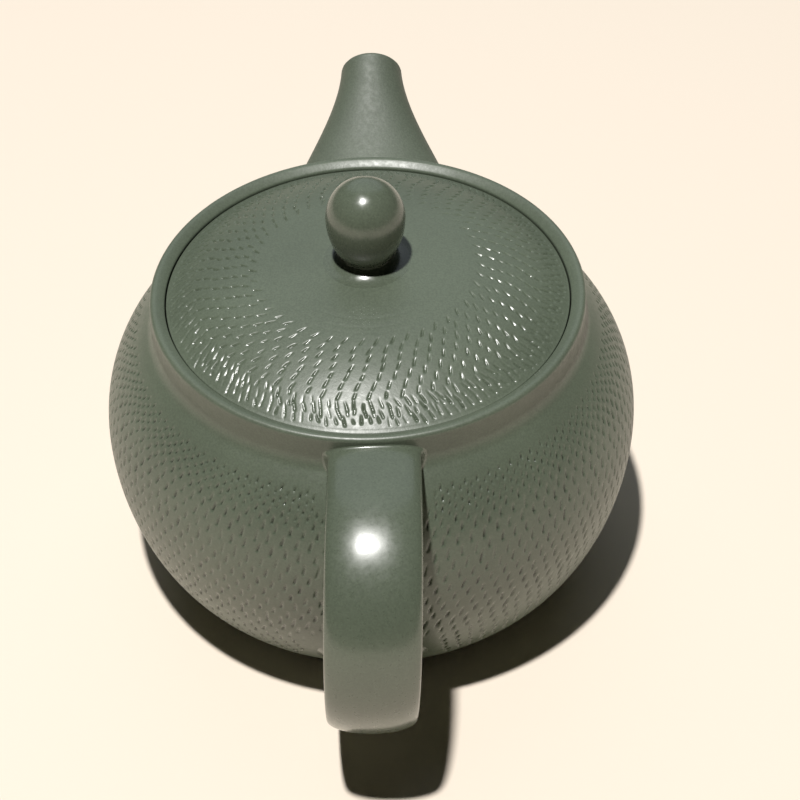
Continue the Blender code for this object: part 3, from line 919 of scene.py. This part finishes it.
def spread(tree, value, low, high, from_low=0.35, from_high=0.65):
    """The value spread over low to high; noise mostly lies between 0.35 and 0.65."""
    node = add_node(tree, "ShaderNodeMapRange")
    node.inputs["From Min"].default_value = from_low
    node.inputs["From Max"].default_value = from_high
    node.inputs["To Min"].default_value = low
    node.inputs["To Max"].default_value = high
    tree.links.new(value, node.inputs["Value"])
    return node.outputs["Result"]


def math_node(tree, operation, a, b):
    """The result of a calculation with two sockets, or a socket and a number."""
    node = add_node(tree, "ShaderNodeMath", operation=operation)
    for socket, value in zip(node.inputs, (a, b)):
        if isinstance(value, (int, float)):
            socket.default_value = value
        else:
            tree.links.new(value, socket)
    return node.outputs[0]


def clay_material(name, colour, roughness, grain, coat):
    """Unglazed clay: uneven grey green, fine grit, a satin surface, smoother in the marks and darker there,
    partly its own tone and partly painted shade.
    """
    material = bpy.data.materials.new(name)
    material.use_nodes = True
    tree = material.node_tree
    shader = tree.nodes["Principled BSDF"]
    place = add_node(tree, "ShaderNodeTexCoord").outputs["Object"]
    mark = add_node(tree, "ShaderNodeAttribute", attribute_name="mark").outputs["Fac"]
    clouds = spread(tree, noise(tree, place, CLOUD_SCALE, 3.0), 0.93, 1.07)
    grit = spread(tree, noise(tree, place, GRIT_SCALE, 1.0), 0.90, 1.10)
    # Painted shade: the colour is darkened with the mark's depth, for the shade in the grooves as well as
    # their unburnished clay
    groove_shade = spread(tree, mark, 1.0, MARK_SHADE_AND_TONE, 0.42, 0.95)
    value = math_node(tree, 'MULTIPLY', math_node(tree, 'MULTIPLY', clouds, grit), groove_shade)
    tint = add_node(tree, "ShaderNodeVectorMath", operation='SCALE')
    tint.inputs[0].default_value = colour
    tree.links.new(value, tint.inputs["Scale"])
    tree.links.new(tint.outputs[0], shader.inputs["Base Color"])
    sheen = spread(tree, noise(tree, place, SHEEN_SCALE, 2.0), roughness - 0.03, roughness + 0.04)
    polish = spread(tree, mark, 0.0, MARK_POLISH, 0.02, 0.22)
    tree.links.new(math_node(tree, 'ADD', sheen, polish), shader.inputs["Roughness"])
    shader.inputs["Specular IOR Level"].default_value = SPECULAR
    shader.inputs["Coat Weight"].default_value = coat
    shader.inputs["Coat Roughness"].default_value = COAT_ROUGHNESS
    fine = noise(tree, place, GRAIN_SCALE, 3.0, 0.65)
    waves = noise(tree, place, WAVE_SCALE, 2.0)
    height = math_node(tree, 'ADD', fine, math_node(tree, 'MULTIPLY', waves, 3.0))
    bump = add_node(tree, "ShaderNodeBump")
    bump.inputs["Strength"].default_value = grain
    bump.inputs["Distance"].default_value = BUMP_HEIGHT
    tree.links.new(height, bump.inputs["Height"])
    tree.links.new(bump.outputs["Normal"], shader.inputs["Normal"])
    tree.links.new(bump.outputs["Normal"], shader.inputs["Coat Normal"])
    return material


# ---------------------------------------------------------------- stage

# The camera stands behind the handle and looks down at the pot
CAMERA_PLACE = Vector((9.8, -329.8, 348.9)) * MM
CAMERA_RIGHT = Vector((0.99988, -0.00267, -0.01503))
CAMERA_AHEAD = Vector((-0.00839, 0.72657, -0.68704))
CAMERA_LENS = 97.43
CAMERA_SENSOR = 36.0

# Lamps: direction from the pot, distance and size in metres, watts, colour
Lamp = namedtuple("Lamp", "direction distance size watts colour")
KEY = Lamp((-0.094, -0.203, 1.0), 2.0, 0.09, 48.0, (1.0, 0.985, 0.96))
SKY = Lamp((0.0, 0.73, 0.68), 1.5, 1.9, 4.3, (0.84, 0.93, 1.0))

FLOOR_COLOUR = (0.84, 0.745, 0.635)
FLOOR_ROUGHNESS = 0.8
FLOOR_SPECULAR = 0.2
FLOOR_REACH = 4.0
FLOOR_DROP = 0.00005
BACKGROUND_STRENGTH = 0.06


def make_camera():
    """A camera without depth of field or shift."""
    data = bpy.data.cameras.new("camera")
    data.sensor_width = CAMERA_SENSOR
    data.lens = CAMERA_LENS
    data.clip_start = 0.01
    data.clip_end = 20.0
    camera = bpy.data.objects.new("camera", data)
    back = -CAMERA_AHEAD.normalized()
    right = (CAMERA_RIGHT - back * CAMERA_RIGHT.dot(back)).normalized()
    turn = Matrix((right, back.cross(right), back)).transposed().to_4x4()
    camera.matrix_world = Matrix.Translation(CAMERA_PLACE) @ turn
    bpy.context.collection.objects.link(camera)
    bpy.context.scene.camera = camera


def make_light(name, lamp):
    """A round lamp that shines on the pot."""
    data = bpy.data.lights.new(name, 'AREA')
    data.shape = 'DISK'
    data.size = lamp.size
    data.energy = lamp.watts
    data.color = lamp.colour
    light = bpy.data.objects.new(name, data)
    light.visible_camera = False
    direction = Vector(lamp.direction).normalized()
    light.location = direction * lamp.distance
    light.rotation_mode = 'QUATERNION'
    light.rotation_quaternion = direction.to_track_quat('Z', 'Y')
    bpy.context.collection.objects.link(light)


def make_floor():
    """The plain pale floor, a hair below the pot's base."""
    r = FLOOR_REACH
    mesh = bpy.data.meshes.new("floor")
    mesh.from_pydata([(-r, -r, 0), (r, -r, 0), (r, r, 0), (-r, r, 0)], [], [(0, 1, 2, 3)])
    floor = bpy.data.objects.new("floor", mesh)
    floor.location.z = -FLOOR_DROP
    bpy.context.collection.objects.link(floor)
    material = bpy.data.materials.new("pale_floor")
    material.use_nodes = True
    shader = material.node_tree.nodes["Principled BSDF"]
    shader.inputs["Base Color"].default_value = (*FLOOR_COLOUR, 1.0)
    shader.inputs["Roughness"].default_value = FLOOR_ROUGHNESS
    shader.inputs["Specular IOR Level"].default_value = FLOOR_SPECULAR
    mesh.materials.append(material)


def make_world():
    """A dim background in the floor's tint, which the camera sees and which doesn't light the pot."""
    world = bpy.data.worlds.new("studio")
    world.use_nodes = True
    background = world.node_tree.nodes["Background"]
    background.inputs["Color"].default_value = (*FLOOR_COLOUR, 1.0)
    background.inputs["Strength"].default_value = BACKGROUND_STRENGTH
    world.cycles_visibility.diffuse = False
    world.cycles_visibility.glossy = False
    bpy.context.scene.world = world


def main():
    clay = clay_material(
        "green_clay", (0.098, 0.121, 0.085), roughness=0.40, grain=0.20, coat=0.0)
    burnished = clay_material(
        "burnished_clay", (0.090, 0.110, 0.078), roughness=0.24, grain=0.03, coat=0.08)
    spout_clay = clay_material(
        "spout_clay", (0.097, 0.119, 0.086), roughness=0.58, grain=0.40, coat=0.0)
    strap_clay = clay_material(
        "strap_clay", (0.095, 0.117, 0.082), roughness=0.30, grain=0.03, coat=0.45)
    make_body(clay)
    make_spout(spout_clay)
    make_handle(strap_clay)
    make_strainer(clay)
    make_lid(clay)
    make_knob(burnished)
    make_floor()
    make_world()
    make_camera()
    make_light("key", KEY)
    make_light("sky", SKY)
    bpy.context.scene.view_settings.view_transform = 'Standard'


main()
